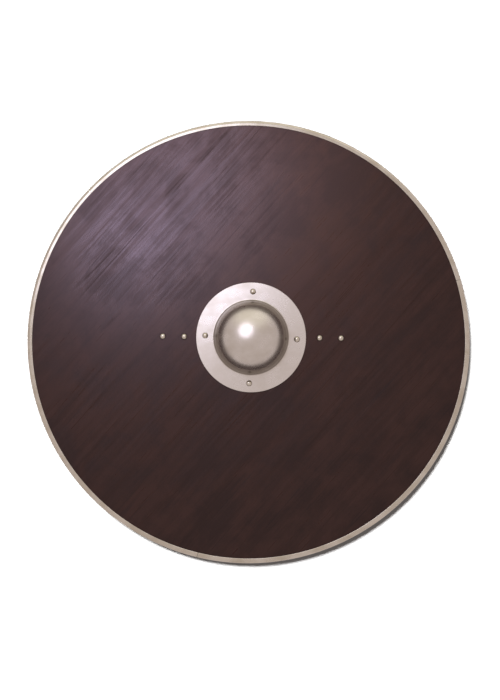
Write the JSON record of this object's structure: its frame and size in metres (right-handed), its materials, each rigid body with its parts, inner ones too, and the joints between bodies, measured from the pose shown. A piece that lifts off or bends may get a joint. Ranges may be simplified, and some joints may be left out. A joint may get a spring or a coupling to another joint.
{
  "type": "wooden round shield",
  "caption": "Flat round wooden shield with a raised steel boss over the hand hole, a steel edge binding and a wooden grip bar across the back.",
  "frame": {"origin": "under the middle of the round board, level with the lowest rivet tails on the back", "axes": "+Z out of the face of the shield, +X to the right across the face along the grip bar, +Y to the top of the face"},
  "size_m": [0.75, 0.75, 0.0928],
  "materials": {
    "stained_board": "plywood stained dark red-brown, satin varnish",
    "grip_wood": "bare ash, sanded and oiled",
    "boss_steel": "satin, fine ground",
    "rim_steel": "satin, rolled",
    "rivet_steel": "satin, hammered",
    "rove_steel": "dull, stamped"
  },
  "bodies": {
    "root": {"board": "stained_board", "grip": "grip_wood", "boss": "boss_steel", "rim_strip_1": "rim_steel", "rim_strip_2": "rim_steel", "rim_strip_3": "rim_steel", "boss_rivet_top": "rivet_steel", "boss_rivet_right": "rivet_steel", "boss_rivet_bottom": "rivet_steel", "boss_rivet_left": "rivet_steel", "boss_rove_top": "rove_steel", "boss_rove_right": "rove_steel", "boss_rove_bottom": "rove_steel", "boss_rove_left": "rove_steel", "grip_rivet_left_outer": "rivet_steel", "grip_rivet_left_inner": "rivet_steel", "grip_rivet_right_inner": "rivet_steel", "grip_rivet_right_outer": "rivet_steel", "grip_rove_left_outer": "rove_steel", "grip_rove_left_inner": "rove_steel", "grip_rove_right_inner": "rove_steel", "grip_rove_right_outer": "rove_steel"}
  },
  "joints": []
}
